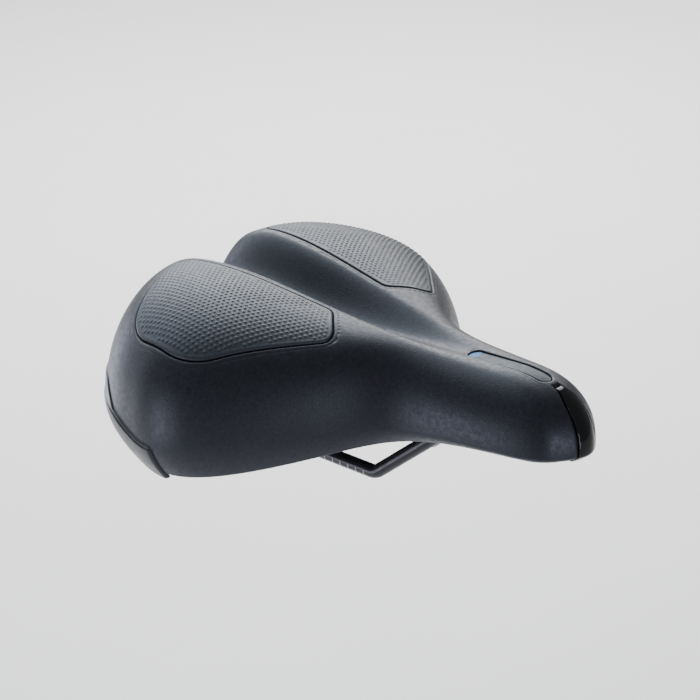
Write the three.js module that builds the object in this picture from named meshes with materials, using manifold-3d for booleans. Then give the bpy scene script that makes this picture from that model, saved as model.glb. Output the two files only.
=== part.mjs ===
// Bicycle saddle on 7 mm rails, sprung at the rear on two elastomer blocks. Millimetres.
// Frame: +X towards the nose, +Y to the rider's left, +Z up. The origin is midway between
// the two rails, at the middle of their straight clamp zone.
import * as THREE from 'three';
import * as BufferGeometryUtils from 'three/addons/utils/BufferGeometryUtils.js';
import Module from 'manifold-3d';

const wasm = await Module();
wasm.setup();

// ---- Driving dimensions ----

// The skin's widest line in plan, from the middle of the tail round the left side to the
// tip of the nose: control points (x, y) of a cubic B-spline, mirrored for the right side.
const OUTLINE = [
  [-97, 0], [-117, 17], [-113, 50], [-87, 90], [-56, 100], [-22, 109],
  [27, 59], [47, 30], [90, 29], [130, 24], [137, 14], [147, 0]
];

// Cross-section sizes at stations along X, as control values of cubic B-splines.
const STATION_START = -130;
const STATION_STEP = 40;
const CROWN = [77, 86.5, 87.5, 81, 74, 70.5, 70, 72];
const CROWN_Y = [46, 50, 50, 42, 32, 24, 18, 14];
const CROWN_DIP = [6.3, 6.3, 6.3, 6.3, 3.8, 1.3, 0, 0];
const CHANNEL_DEPTH = [11, 16, 16, 12, 6, 2, 0, 0];
const CHANNEL_RIM_Y = [31, 28, 22, 19.5, 16.5, 13, 12, 12];
const CHANNEL_FOOT_Y = [11, 8.5, 4.5, 2, 0.5, 0.5, 1, 1];
const WAIST = [29, 28, 27, 28, 32, 36, 38, 38];
const HEM = [13.5, 5.6, 2.9, 6, 18.3, 30, 35, 34];
const TUCK = [14, 10, 8, 7, 5, 4, 4, 5];
const PADDING = [30, 32, 34, 32, 24, 16, 14, 14];
const FULLNESS = [3.5, 3.6, 4.2, 3.5, 3.2, 2.4, 2.1, 2.4];
const SPINE_SHARE = 0.637;

const GAP = 0.3;
const SMALLEST_EDGE = 0.02;
const COVER_THICKNESS = 2.8;
const HEM_WIDTH = 5.7;
const HEM_THICKNESS = 2.5;
const BASE_THICKNESS = 2.6;

const ROD_RADIUS = 3.5;
const RAIL_SPACING = 44;
const CLAMP_REAR_X = -35;
const CLAMP_FRONT_X = 35;
const PIVOT = { x: 116, z: 38.5 };

const CARRIER = { x: -72, length: 28, halfWidth: 46, bottom: 15, top: 28 };
const SOCKET = { y: 33, z: 21.5, depth: 23 };
const ELASTOMER = { y: 17, radius: 13 };
const BOSS = { radius: 15, bottom: 44, top: 56 };
const BOLT_RADIUS = 3;

// Grip panel in plan, left side: corners (x, y) and how far from each its rounding starts.
const PANEL_CORNERS = [
  { x: -85, y: 29.5, round: 7.5 },
  { x: 6, y: 20.3, round: 3.5 },
  { x: 21.5, y: 38, round: 6 },
  { x: -25, y: 91, round: 16 },
  { x: -67.5, y: 85, round: 14 },
  { x: -78, y: 64, round: 9 },
  { x: -84.5, y: 43, round: 5.5 },
];
const PANEL_CENTER = { x: -36, y: 54 };
const PANEL_DEPTH = 1.2;
const PANEL_PROUD = 0.3;
const GEL = { scale: 0.8, top: -5, bottom: -11 };

const INLAY = { rear: 74, front: 120, halfWidth: 4, top: -0.6, bottom: -1.5 };
const REAR_BUMPER = { endTurn: 4.5, proud: 1.4, depth: 1, lowLevel: 2.1 };
const NOSE_BUMPER = { topLevel: 0.4, lowLevel: 1.97, proud: 0.1, depth: 1.5 };
const BUMPER_TAB = { x: -88, y: 44, post: 4 };

// Grid density of a layer: rings over the dome, rings down the skirt, rays around.
const SKIN_GRID = { dome: 9, skirt: 2, rays: 36 };
const BASE_GRID = { dome: 6, skirt: 2, rays: 28 };

const BLACK_SKIN = { color: 0x24262b, roughness: 0.55, metalness: 0 };
const BLACK_PANEL = { color: 0x2b2e34, roughness: 0.6, metalness: 0 };
const GLOSS_BLACK = { color: 0x08090b, roughness: 0.12, metalness: 0 };
const SATIN_BLACK = { color: 0x17181b, roughness: 0.4, metalness: 0 };
const BLUE_GREY = { color: 0x3a4450, roughness: 0.4, metalness: 0 };
const FOAM_GREY = { color: 0x6b6b66, roughness: 0.95, metalness: 0 };
const GEL_BLUE = { color: 0x4f7f9c, roughness: 0.3, metalness: 0 };
const RUBBER_GREY = { color: 0x35363a, roughness: 0.8, metalness: 0 };
const PAINTED_STEEL = { color: 0x1b1c1f, roughness: 0.35, metalness: 0.6 };
const ZINC_STEEL = { color: 0xa8abb0, roughness: 0.35, metalness: 0.9 };

// ---- Skin surface ----

// One cubic B-spline segment through four control values, at fraction f.
function segment(a, b, c, d, f) {
  const g = 1 - f;
  return (g ** 3 * a + (3 * f ** 3 - 6 * f ** 2 + 4) * b
    + (3 * g ** 3 - 6 * g ** 2 + 4) * c + f ** 3 * d) / 6;
}

function station(values, x) {
  const last = values.length - 1;
  const t = THREE.MathUtils.clamp((x - STATION_START) / STATION_STEP, 0, last);
  const i = Math.min(Math.floor(t), last - 1);
  const before = i > 0 ? values[i - 1] : 2 * values[0] - values[1];
  const after = i + 2 > last ? 2 * values[last] - values[last - 1] : values[i + 2];
  return segment(before, values[i], values[i + 1], after, t - i);
}

const TURNS = OUTLINE.length - 1;

// Rim point at turn 0 (tail) to TURNS (nose) on the left side.
function rimPoint(turn) {
  const i = Math.min(Math.floor(turn), TURNS - 1);
  const mirror = ([x, y]) => [x, -y];
  const before = i > 0 ? OUTLINE[i - 1] : mirror(OUTLINE[1]);
  const after = i + 2 > TURNS ? mirror(OUTLINE[TURNS - 1]) : OUTLINE[i + 2];
  const at = (k) => segment(before[k], OUTLINE[i][k], OUTLINE[i + 1][k], after[k], turn - i);
  return new THREE.Vector2(at(0), at(1));
}

function rimRange() {
  let low = Infinity;
  let high = -Infinity;
  for (let turn = 0; turn <= TURNS; turn += 0.05) {
    low = Math.min(low, rimPoint(turn).x);
    high = Math.max(high, rimPoint(turn).x);
  }
  return { middle: (low + high) / 2, half: (high - low) / 2 };
}
const RIM = rimRange();

// Each ray runs from a point on the centre line (the spine) out to the rim.
function spineX(rimX) {
  const across = (Math.max(rimX, rimPoint(0).x) - RIM.middle) / RIM.half;
  return RIM.middle + SPINE_SHARE * RIM.half * Math.sin(across * Math.PI / 2);
}

// A layer is the skin moved inwards: inset from the sides, drop from the top, and with
// padding 1 down to the base shell, which has no channel.
const layerOf = (inset, drop, padding = 0) => ({ inset, drop, padding });

function topHeight(x, y, layer) {
  const side = Math.abs(y);
  const shape = 1 - layer.padding;
  const dip = Math.max(0, 1 - side / station(CROWN_Y, x)) ** 2 * station(CROWN_DIP, x);
  const foot = station(CHANNEL_FOOT_Y, x);
  const rise = THREE.MathUtils.smoothstep(side, foot, station(CHANNEL_RIM_Y, x));
  const channel = station(CHANNEL_DEPTH, x) * (1 - rise);
  const padding = layer.padding * station(PADDING, x);
  return station(CROWN, x) - layer.drop - padding - shape * (dip + channel);
}

// Height left at a share of the way from the spine to the rim: a superellipse.
function domeFall(share, rimX) {
  return Math.sqrt(Math.max(0, 1 - share ** station(FULLNESS, rimX)));
}

// Point of a layer. turn goes round the plan from the tail (0) by the left side to the
// nose (TURNS) and back by the right (2 * TURNS). level is 0 on the spine, 1 on the widest
// line and 2 at the hem.
function skinPoint(anyTurn, level, layer) {
  const turn = (anyTurn + 2 * TURNS) % (2 * TURNS);
  const left = turn <= TURNS;
  const rim = rimPoint(left ? turn : 2 * TURNS - turn);
  const spine = spineX(rim.x);
  const ray = new THREE.Vector2(rim.x - spine, rim.y);
  const reach = ray.length() - layer.inset;
  ray.normalize();
  const waist = station(WAIST, rim.x);
  let distance;
  let z;
  if (level < 1) {
    const share = Math.sin(level * Math.PI / 2);
    distance = reach * share;
    const top = topHeight(spine + ray.x * distance, ray.y * distance, layer);
    z = waist + (top - waist) * domeFall(share, rim.x);
  } else {
    const down = level - 1;
    distance = reach - station(TUCK, rim.x) * down ** 2;
    z = waist - (waist - station(HEM, rim.x)) * down;
  }
  const y = ray.y * distance;
  return new THREE.Vector3(spine + ray.x * distance, left ? y : -y, z);
}

const SKIN = layerOf(0, 0);

function skinNormal(turn, level) {
  const step = 0.01;
  const around = skinPoint(turn + step, level, SKIN).sub(skinPoint(turn - step, level, SKIN));
  const down = skinPoint(turn, level + step, SKIN).sub(skinPoint(turn, level - step, SKIN));
  return around.cross(down).normalize();
}

// The skin's point over a plan position: the ray through it is found by bisection.
function skinOver(x, y) {
  const side = Math.abs(y);
  let low = 0;
  let high = TURNS;
  for (let pass = 0; pass < 40; pass += 1) {
    const turn = (low + high) / 2;
    const rim = rimPoint(turn);
    const spine = spineX(rim.x);
    const ahead = (rim.x - spine) * side - rim.y * (x - spine);
    if (ahead > 0) {
      high = turn;
    } else {
      low = turn;
    }
  }
  const rim = rimPoint(low);
  const spine = spineX(rim.x);
  const share = Math.hypot(x - spine, side) / Math.hypot(rim.x - spine, rim.y);
  const waist = station(WAIST, rim.x);
  const top = topHeight(x, side, SKIN);
  return new THREE.Vector3(x, y, waist + (top - waist) * domeFall(share, rim.x));
}

function normalOver(x, y) {
  const step = 0.4;
  const alongX = skinOver(x + step, y).sub(skinOver(x - step, y));
  const alongY = skinOver(x, y + step).sub(skinOver(x, y - step));
  return alongX.cross(alongY).normalize();
}

// ---- Mesh and solid helpers ----

function indexed(points, triangles) {
  const geometry = new THREE.BufferGeometry();
  const flat = points.flatMap((p) => [p.x, p.y, p.z]);
  geometry.setAttribute('position', new THREE.Float32BufferAttribute(flat, 3));
  geometry.setIndex(triangles.flat());
  return geometry;
}

function toSolid(geometry) {
  const bare = geometry.clone();
  bare.deleteAttribute('normal');
  bare.deleteAttribute('uv');
  const merged = BufferGeometryUtils.mergeVertices(bare, 1e-4);
  const corners = merged.index.array;
  const triangles = [];
  for (let k = 0; k < corners.length; k += 3) {
    const [a, b, c] = corners.slice(k, k + 3);
    if (a !== b && b !== c && c !== a) {
      triangles.push(a, b, c);
    }
  }
  return new wasm.Manifold(new wasm.Mesh({
    numProp: 3,
    vertProperties: new Float32Array(merged.attributes.position.array),
    triVerts: new Uint32Array(triangles)
  }));
}

function toGeometry(solid) {
  const mesh = solid.simplify(SMALLEST_EDGE).getMesh();
  const geometry = new THREE.BufferGeometry();
  geometry.setAttribute('position', new THREE.BufferAttribute(mesh.vertProperties, 3));
  geometry.setIndex(new THREE.BufferAttribute(mesh.triVerts, 1));
  return geometry;
}

const cut = (solid, ...tools) => tools.reduce((left, tool) => left.subtract(tool), solid);
const join = (...solids) => solids.reduce((left, solid) => left.add(solid));
const mainBody = (solid) => solid.decompose().sort((a, b) => b.volume() - a.volume())[0];

const group = new THREE.Group();

function addPiece(name, geometry, finish) {
  geometry.computeVertexNormals();
  const mesh = new THREE.Mesh(geometry, new THREE.MeshStandardMaterial(finish));
  mesh.name = name;
  group.add(mesh);
}

// Closed dome of a layer: its top, its skirt down to `rise` above the hem (below it when
// rise is negative), and a floor below the spine.
function domeSolid(layer, rise, grid = layer.padding ? BASE_GRID : SKIN_GRID) {
  const { dome, rays } = grid;
  const shown = dome + grid.skirt;
  const rings = shown + (rise < 0 ? 1 : 0);
  const half = rays / 2;
  const points = [];
  for (let ray = 0; ray < rays; ray += 1) {
    const turn = ray * 2 * TURNS / rays;
    points.push(skinPoint(turn, 0, layer));
    for (let ring = 1; ring <= shown; ring += 1) {
      const level = ring <= dome ? ring / dome : 1 + (ring - dome) / grid.skirt;
      points.push(skinPoint(turn, level, layer));
    }
    const [above, hem] = points.slice(-2);
    if (rise < 0) {
      points.push(hem.clone());
    }
    points.at(-1).lerp(above, rise / (above.z - hem.z));
  }
  const at = (ray, ring) => (ray % rays) * (rings + 1) + ring;
  const spine = (ray) => at(ray <= half ? ray : rays - ray, 0);
  const triangles = [];
  for (let ray = 0; ray < rays; ray += 1) {
    if (spine(ray) !== spine(ray + 1)) {
      triangles.push([spine(ray), at(ray, 1), spine(ray + 1)]);
    }
    triangles.push([at(ray, 1), at(ray + 1, 1), spine(ray + 1)]);
    for (let ring = 1; ring < rings; ring += 1) {
      triangles.push([at(ray, ring), at(ray, ring + 1), at(ray + 1, ring + 1)]);
      triangles.push([at(ray, ring), at(ray + 1, ring + 1), at(ray + 1, ring)]);
    }
  }
  const firstFloor = points.length;
  for (let ray = 0; ray <= half; ray += 1) {
    points.push(points[spine(ray)].clone().setZ(points[at(ray, rings)].z));
  }
  const floor = (ray) => firstFloor + Math.min(ray, rays - ray);
  for (let ray = 0; ray < rays; ray += 1) {
    triangles.push([floor(ray), floor(ray + 1), at(ray, rings)]);
    triangles.push([at(ray, rings), floor(ray + 1), at(ray + 1, rings)]);
  }
  return toSolid(indexed(points, triangles.map(([a, b, c]) => [a, c, b])));
}

// Closed plate between two copies of a grid of surface points, `high` above and `low`
// below it along the normals. pointAt and normalAt take (row, column). facing is -1 where
// the grid runs the other way round, as on the right side.
function plateSolid(rows, columns, closed, pointAt, normalAt, high, low, facing) {
  const wide = closed ? columns : columns + 1;
  const points = [];
  for (const offset of [high, low]) {
    for (let row = 0; row <= rows; row += 1) {
      for (let column = 0; column < wide; column += 1) {
        const lift = normalAt(row, column).multiplyScalar(offset);
        points.push(pointAt(row, column).add(lift));
      }
    }
  }
  const layer = (rows + 1) * wide;
  const at = (side, row, column) => side * layer + row * wide + (column % wide);
  const triangles = [];
  const quad = (a, b, c, d) => triangles.push([a, b, c], [a, c, d]);
  for (let row = 0; row < rows; row += 1) {
    for (let column = 0; column < columns; column += 1) {
      quad(at(0, row, column), at(0, row + 1, column),
        at(0, row + 1, column + 1), at(0, row, column + 1));
      quad(at(1, row, column), at(1, row, column + 1),
        at(1, row + 1, column + 1), at(1, row + 1, column));
    }
  }
  for (let column = 0; column < columns; column += 1) {
    quad(at(0, rows, column), at(1, rows, column),
      at(1, rows, column + 1), at(0, rows, column + 1));
    if (!closed) {
      quad(at(0, 0, column + 1), at(1, 0, column + 1), at(1, 0, column), at(0, 0, column));
    }
  }
  for (let row = 0; row < rows && !closed; row += 1) {
    quad(at(0, row, 0), at(1, row, 0), at(1, row + 1, 0), at(0, row + 1, 0));
    quad(at(0, row + 1, columns), at(1, row + 1, columns),
      at(1, row, columns), at(0, row, columns));
  }
  const turned = triangles.map(([a, b, c]) => (facing > 0 ? [a, b, c] : [a, c, b]));
  return toSolid(indexed(points, turned));
}

function boxSolid(center, size) {
  const box = new THREE.BoxGeometry(size[0], size[1], size[2]);
  return toSolid(box.translate(center[0], center[1], center[2]));
}

// Upright cylinder between two heights.
function postSolid(x, y, low, high, radius, sides = 24) {
  const post = new THREE.CylinderGeometry(radius, radius, high - low, sides);
  return toSolid(post.rotateX(Math.PI / 2).translate(x, y, (low + high) / 2));
}

// ---- Cover, padding and base shell ----

const COVER_IN = layerOf(COVER_THICKNESS, COVER_THICKNESS);
const FOAM_OUT = layerOf(COVER_THICKNESS + 2 * GAP, COVER_THICKNESS + 2 * GAP);
const BASE_SPACE = layerOf(HEM_WIDTH, -GAP, 1);
const BASE_OUT = layerOf(HEM_WIDTH + GAP, 0, 1);
const BASE_IN = layerOf(HEM_WIDTH + GAP + BASE_THICKNESS, BASE_THICKNESS, 1);
const OPEN_BELOW = -8;

const wrapCorner = (index) => PANEL_CORNERS[(index + PANEL_CORNERS.length) % PANEL_CORNERS.length];

// Straight sides joined by quadratic curves at the corners.
function panelOutline(perCorner) {
  const points = [];
  PANEL_CORNERS.forEach((corner, index) => {
    const here = new THREE.Vector2(corner.x, corner.y);
    const toward = (other) => new THREE.Vector2(other.x, other.y).sub(here)
      .setLength(corner.round).add(here);
    const bend = new THREE.QuadraticBezierCurve(
      toward(wrapCorner(index - 1)), here, toward(wrapCorner(index + 1)));
    points.push(...bend.getPoints(perCorner));
  });
  return points;
}

// Plate on the skin over the grip panel's outline, grown (or shrunk) about its centre.
function panelSolid(side, grow, scale, high, low) {
  const edge = panelOutline(2);
  const rows = 3;
  const plan = (row, column) => {
    const offset = edge[column % edge.length].clone();
    offset.x -= PANEL_CENTER.x;
    offset.y -= PANEL_CENTER.y;
    offset.setLength((offset.length() * scale + grow) * row / rows);
    return [PANEL_CENTER.x + offset.x, side * (PANEL_CENTER.y + offset.y)];
  };
  return plateSolid(rows, edge.length, true, (row, column) => skinOver(...plan(row, column)),
    (row, column) => normalOver(...plan(row, column)), high, low, side);
}

// Long strip with round ends on the centre line of the nose.
function inlaySolid(grow, high, low) {
  const steps = 6;
  const columns = 2 * (steps + 1);
  const width = INLAY.halfWidth + grow;
  const rearX = INLAY.rear + INLAY.halfWidth;
  const frontX = INLAY.front - INLAY.halfWidth;
  const middleX = (rearX + frontX) / 2;
  const rows = 4;
  const plan = (row, column) => {
    const end = column % columns > steps ? 1 : 0;
    const angle = Math.PI * ((column % columns - end * (steps + 1)) / steps + 0.5 + end);
    const edgeX = (end ? frontX : rearX) + width * Math.cos(angle);
    const share = row / rows;
    return [middleX + (edgeX - middleX) * share, -width * Math.sin(angle) * share];
  };
  return plateSolid(rows, columns, true, (row, column) => skinOver(...plan(row, column)),
    (row, column) => normalOver(...plan(row, column)), high, low, -1);
}

function rearBumperLevel(turn) {
  return 0.9 + 0.39 * THREE.MathUtils.smoothstep(Math.abs(turn), 3.05, 4.4);
}

// Guard plate round the tail, following the skin from its upper edge to below the hem.
function rearBumperPlate(grow, high, low) {
  const rows = 4;
  const columns = 20;
  const spot = (row, column) => {
    const share = row / rows;
    const end = REAR_BUMPER.endTurn + 0.1 * share + 0.02 * grow;
    const turn = end * (2 * column / columns - 1);
    const top = rearBumperLevel(turn) - 0.02 * grow;
    return [turn, top + (REAR_BUMPER.lowLevel + 0.05 * grow - top) * share];
  };
  return plateSolid(rows, columns, false, (row, column) => skinPoint(...spot(row, column), SKIN),
    (row, column) => skinNormal(...spot(row, column)), high, low, -1);
}

function noseBumperPlate(grow, high, low) {
  const rows = 8;
  const columns = 6;
  const spot = (row, column) => {
    const share = row / rows;
    const { topLevel, lowLevel } = NOSE_BUMPER;
    const level = topLevel + (lowLevel - topLevel) * share + grow * (0.3 * share ** 3 - 0.01);
    const shoulder = 0.18 * THREE.MathUtils.smoothstep(share, 0, 0.12);
    const half = 0.24 + shoulder + 0.13 * share + 0.03 * grow;
    return [TURNS - half * (2 * column / columns - 1), level];
  };
  return plateSolid(rows, columns, false, (row, column) => skinPoint(...spot(row, column), SKIN),
    (row, column) => skinNormal(...spot(row, column)), high, low, 1);
}

// ---- Rail ----

// Rod centre line as straight legs between corners, each rounded by a circular arc.
const RAIL_CORNERS = [
  { x: CARRIER.x + CARRIER.length / 2 - SOCKET.depth + GAP, y: SOCKET.y, z: SOCKET.z, bend: 0 },
  { x: -55, y: SOCKET.y, z: SOCKET.z, bend: 8 },
  { x: CLAMP_REAR_X, y: RAIL_SPACING / 2, z: 0, bend: 9 },
  { x: CLAMP_FRONT_X, y: RAIL_SPACING / 2, z: 0, bend: 7 },
  { x: 72, y: 11, z: 32, bend: 16 },
  { x: PIVOT.x, y: 11, z: PIVOT.z, bend: 6.5 }
];

function railPath(arcSteps) {
  const left = RAIL_CORNERS;
  const right = [...RAIL_CORNERS].reverse().map((c) => ({ ...c, y: -c.y }));
  const corners = [...left, ...right];
  const spots = corners.map((c) => new THREE.Vector3(c.x, c.y, c.z));
  const points = [];
  spots.forEach((spot, index) => {
    const { bend } = corners[index];
    if (bend === 0) {
      points.push(spot);
      return;
    }
    const back = spots[index - 1].clone().sub(spot).normalize();
    const ahead = spots[index + 1].clone().sub(spot).normalize();
    const half = back.angleTo(ahead) / 2;
    const middle = back.clone().add(ahead).normalize();
    const center = spot.clone().addScaledVector(middle, bend / Math.sin(half));
    const axis = new THREE.Vector3().crossVectors(back, ahead).normalize();
    const start = spot.clone().addScaledVector(back, bend / Math.tan(half)).sub(center);
    const sweep = Math.PI - 2 * half;
    for (let k = 0; k <= arcSteps; k += 1) {
      points.push(start.clone().applyAxisAngle(axis, -sweep * k / arcSteps).add(center));
    }
  });
  return points;
}

// Path through given points whose section stays upright, so flats face straight down.
class UprightPath extends THREE.Curve {
  constructor(points) {
    super();
    this.points = points;
  }

  getSpacedPoints() {
    return this.points;
  }

  computeFrenetFrames() {
    const up = new THREE.Vector3(0, 0, 1);
    const last = this.points.length - 1;
    const tangents = this.points.map((point, k) => {
      const before = this.points[Math.max(0, k - 1)];
      return this.points[Math.min(last, k + 1)].clone().sub(before).normalize();
    });
    const normals = tangents.map((t) => new THREE.Vector3().crossVectors(t, up).normalize());
    const binormals = tangents.map((t, k) => new THREE.Vector3().crossVectors(t, normals[k]));
    return { tangents, normals, binormals };
  }
}

// Rod section: a polygon whose flats, one of them at the bottom, stand `radius` from its axis.
function rodGeometry(points, radius, sides) {
  const section = new THREE.Shape();
  const corner = radius / Math.cos(Math.PI / sides);
  for (let k = 0; k < sides; k += 1) {
    const angle = 2 * Math.PI * (k + 0.5) / sides;
    const at = [corner * Math.cos(angle), corner * Math.sin(angle)];
    if (k === 0) {
      section.moveTo(...at);
    } else {
      section.lineTo(...at);
    }
  }
  const path = new UprightPath(points);
  return new THREE.ExtrudeGeometry(section, { steps: points.length - 1, extrudePath: path });
}

// ---- Pieces ----

const CARRIER_FRONT = CARRIER.x + CARRIER.length / 2;
const STACK = { x: CARRIER.x, y: ELASTOMER.y };
const WASHER = { inner: 3.4, outer: 8, thickness: 1.6 };
const BOLT_HEAD = { radius: 5.8, height: 4 };
const NUT = { radius: 5.8, height: 5, bottom: 48.5 };
const WASHER_TOP = CARRIER.bottom - GAP;
const BOLT_TOP = NUT.bottom + NUT.height;
const NUT_SPACE = 6.5;

const CLAMP_PLATE = { length: 21, halfWidth: 6.2, bottom: 31.5 };
const NOSE_BLOCK = { length: 21, halfWidth: 6.2, top: 60 };
const NOSE_SCREWS = [
  { name: 'rear_nose_clamp_screw', x: PIVOT.x - 7.4 },
  { name: 'front_nose_clamp_screw', x: PIVOT.x + 7.4 }
];
const SCREW = { shank: 2, head: 3, headHeight: 2.6, top: 46, socket: 1.6 };
const SPLIT = 0.15;
const ROD_SEAT = ROD_RADIUS + 0.8;
const RAIL_TRAVEL = 1.5;
const TAB_SCREW = { bottom: 2.2, top: 19 };
const TAB = { top: 6.6, thickness: 2.2, rear: -100, front: -82, halfWidth: 6 };
const RIB = { thickness: 2.4, bottom: 42, top: 66, y: 34, rear: -51, front: 35, crossX: [-36, 20] };
const SPINE_RIB = { rear: -11, front: 99, top: 62 };
const BOLT_HOLE = BOLT_RADIUS + 1.6;
const CARRIER_POCKET = { margin: 6, width: 14, depth: 7 };
// Heights that are safely below and above whatever a hole is cut through.
const HOLE = { low: 0, high: 70 };
const SIDES = [['left', 1], ['right', -1]];

// How far a pocket in the cover reaches round its piece and above the skin.
const POCKET = { grow: 0.6, wide: 1, high: 3 };

const rearPocket = () =>
  rearBumperPlate(POCKET.wide, POCKET.high, -REAR_BUMPER.depth - GAP);

// The hem's thin strand behind the guard at the tail's notch is dropped with mainBody.
function buildCover() {
  const shell = cut(domeSolid(SKIN, 0), domeSolid(COVER_IN, HEM_THICKNESS),
    domeSolid(BASE_SPACE, OPEN_BELOW));
  const pockets = SIDES.map(([, side]) =>
    panelSolid(side, POCKET.grow, 1, POCKET.high, -PANEL_DEPTH - GAP));
  const inlayPocket = inlaySolid(POCKET.grow, POCKET.high, INLAY.bottom - 3 * GAP);
  const nosePocket = noseBumperPlate(POCKET.wide, POCKET.high, -NOSE_BUMPER.depth - 2 * GAP);
  return mainBody(cut(shell, ...pockets, inlayPocket, rearPocket(), nosePocket));
}

function buildFoam() {
  const pad = cut(domeSolid(FOAM_OUT, HEM_THICKNESS + GAP), domeSolid(BASE_SPACE, OPEN_BELOW));
  const pockets = SIDES.map(([, side]) =>
    panelSolid(side, POCKET.wide, GEL.scale, 0, GEL.bottom - 3 * GAP));
  return mainBody(cut(pad, ...pockets, rearPocket()));
}

// Stiffening ribs, bosses and the nose block reach into the shell and are trimmed by it.
function buildBase() {
  const outer = domeSolid(BASE_OUT, 0);
  const inner = domeSolid(BASE_IN, OPEN_BELOW);
  const ribZ = (RIB.bottom + RIB.top) / 2;
  const ribHeight = RIB.top - RIB.bottom;
  const ribs = SIDES.map(([, side]) => boxSolid([(RIB.rear + RIB.front) / 2, side * RIB.y, ribZ],
    [RIB.front - RIB.rear, RIB.thickness, ribHeight]));
  const cross = RIB.crossX.map((x) =>
    boxSolid([x, 0, ribZ], [RIB.thickness, 2 * RIB.y, ribHeight]));
  const spine = boxSolid([(SPINE_RIB.rear + SPINE_RIB.front) / 2, 0, (RIB.bottom + SPINE_RIB.top) / 2],
    [SPINE_RIB.front - SPINE_RIB.rear, RIB.thickness, SPINE_RIB.top - RIB.bottom]);
  const bosses = SIDES.map(([, side]) =>
    postSolid(STACK.x, side * STACK.y, BOSS.bottom, BOSS.top, BOSS.radius));
  const tabPosts = SIDES.map(([, side]) =>
    postSolid(BUMPER_TAB.x, side * BUMPER_TAB.y, TAB.top + GAP, BOSS.top, BUMPER_TAB.post, 12));
  const block = boxSolid([PIVOT.x, 0, (PIVOT.z + SPLIT + NOSE_BLOCK.top) / 2],
    [NOSE_BLOCK.length, 2 * NOSE_BLOCK.halfWidth, NOSE_BLOCK.top - PIVOT.z - SPLIT]);
  const inside = join(spine, ...ribs, ...cross, ...bosses, ...tabPosts, block).intersect(outer);
  const holes = SIDES.flatMap(([, side]) => [
    postSolid(STACK.x, side * STACK.y, HOLE.low, BOLT_TOP, BOLT_RADIUS + GAP),
    postSolid(STACK.x, side * STACK.y, NUT.bottom - GAP, BOLT_TOP + NUT_SPACE, NUT.radius + GAP, 6),
    postSolid(BUMPER_TAB.x, side * BUMPER_TAB.y, HOLE.low, TAB_SCREW.top + GAP, SCREW.shank + GAP,
      12)
  ]);
  const screws = NOSE_SCREWS.map(({ x }) =>
    postSolid(x, 0, HOLE.low, SCREW.top + GAP, SCREW.shank + GAP, 12));
  const plateSpace = boxSolid([PIVOT.x, 0, CLAMP_PLATE.bottom], [CLAMP_PLATE.length + 2 * GAP,
    2 * (CLAMP_PLATE.halfWidth + GAP), 2 * (PIVOT.z - CLAMP_PLATE.bottom)]);
  return mainBody(cut(join(cut(outer, inner), inside), ...holes, ...screws, pivotSeat(), plateSpace,
    rearPocket(), ...railSpace()));
}

// Room for the rail's arms at rest, and as the base sinks round them.
function railSpace() {
  const wide = toSolid(rodGeometry(railPath(3), ROD_SEAT, 12));
  return [wide, wide.translate(0, 0, RAIL_TRAVEL)];
}

function pivotSeat() {
  const seat = new THREE.CylinderGeometry(ROD_SEAT, ROD_SEAT, 40, 20);
  return toSolid(seat.translate(PIVOT.x, 0, PIVOT.z));
}

function buildClampPlate() {
  const top = PIVOT.z - SPLIT;
  const plate = boxSolid([PIVOT.x, 0, (CLAMP_PLATE.bottom + top) / 2],
    [CLAMP_PLATE.length, 2 * CLAMP_PLATE.halfWidth, top - CLAMP_PLATE.bottom]);
  const holes = NOSE_SCREWS.map(({ x }) => postSolid(x, 0, HOLE.low, HOLE.high, SCREW.shank + GAP, 12));
  return cut(plate, ...holes, pivotSeat());
}

// Pan-head screw pointing up, with a hexagonal socket in its head.
function screwSolid(x, y, headTop, tip) {
  const headBottom = headTop - SCREW.headHeight;
  const head = postSolid(x, y, headBottom, headTop, SCREW.head, 16);
  const shank = postSolid(x, y, headTop - 1, tip, SCREW.shank, 12);
  const socket = postSolid(x, y, headBottom - 1, headTop - 1.2, SCREW.socket, 6);
  return cut(join(head, shank), socket);
}

function buildRearBumper() {
  const plate = rearBumperPlate(0, REAR_BUMPER.proud, -REAR_BUMPER.depth);
  const tabs = SIDES.map(([, side]) => {
    const middle = TAB.top - TAB.thickness / 2;
    const strip = boxSolid([(TAB.rear + TAB.front) / 2, side * BUMPER_TAB.y, middle],
      [TAB.front - TAB.rear, 2 * TAB.halfWidth, TAB.thickness]);
    const hole = postSolid(BUMPER_TAB.x, side * BUMPER_TAB.y, HOLE.low, HOLE.high,
      SCREW.shank + GAP, 12);
    return cut(strip, hole);
  });
  return join(plate, ...tabs);
}

function buildCarrier() {
  const half = CARRIER.length / 2;
  const outline = new THREE.Shape();
  outline.moveTo(-half, -CARRIER.halfWidth + half);
  outline.absarc(0, -CARRIER.halfWidth + half, half, Math.PI, 2 * Math.PI);
  outline.absarc(0, CARRIER.halfWidth - half, half, 0, Math.PI);
  outline.closePath();
  const depth = CARRIER.top - CARRIER.bottom;
  const body = new THREE.ExtrudeGeometry(outline, { depth, bevelEnabled: false, curveSegments: 8 });
  const sockets = SIDES.map(([, side]) => {
    const length = 2 * SOCKET.depth;
    const socket = new THREE.CylinderGeometry(ROD_RADIUS + 2 * GAP, ROD_RADIUS + 2 * GAP, length, 20);
    socket.rotateZ(Math.PI / 2).translate(CARRIER_FRONT, side * SOCKET.y, SOCKET.z);
    return toSolid(socket);
  });
  const holes = SIDES.map(([, side]) =>
    postSolid(STACK.x, side * STACK.y, HOLE.low, HOLE.high, BOLT_HOLE));
  const lightening = boxSolid([CARRIER.x, 0, CARRIER.bottom],
    [CARRIER.length - 2 * CARRIER_POCKET.margin, CARRIER_POCKET.width, 2 * CARRIER_POCKET.depth]);
  return cut(toSolid(body.translate(CARRIER.x, 0, CARRIER.bottom)), ...sockets, ...holes,
    lightening);
}

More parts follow.
